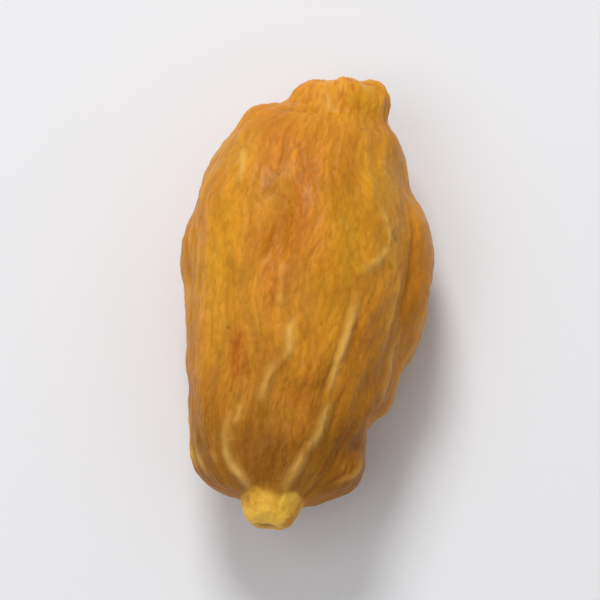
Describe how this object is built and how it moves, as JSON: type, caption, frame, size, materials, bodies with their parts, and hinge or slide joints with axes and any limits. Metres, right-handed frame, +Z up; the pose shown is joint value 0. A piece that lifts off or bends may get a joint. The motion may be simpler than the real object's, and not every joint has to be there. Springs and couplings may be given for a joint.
{
  "type": "dried hog plum",
  "caption": "Whole dried hog plum, amber and wrinkled lengthwise, with a pale stem nub and a knobbly crown, lying on its side.",
  "frame": {"origin": "middle of the fruit's footprint, on the surface that it rests on", "axes": "+Z up, +Y along the fruit from the stem nub to the crown, +X to the right as seen from above with the crown away from the viewer"},
  "size_m": [0.0204, 0.0376, 0.0168],
  "materials": {
    "dried_skin": "satin"
  },
  "bodies": {
    "root": {"hog_plum": "dried_skin"}
  },
  "joints": []
}
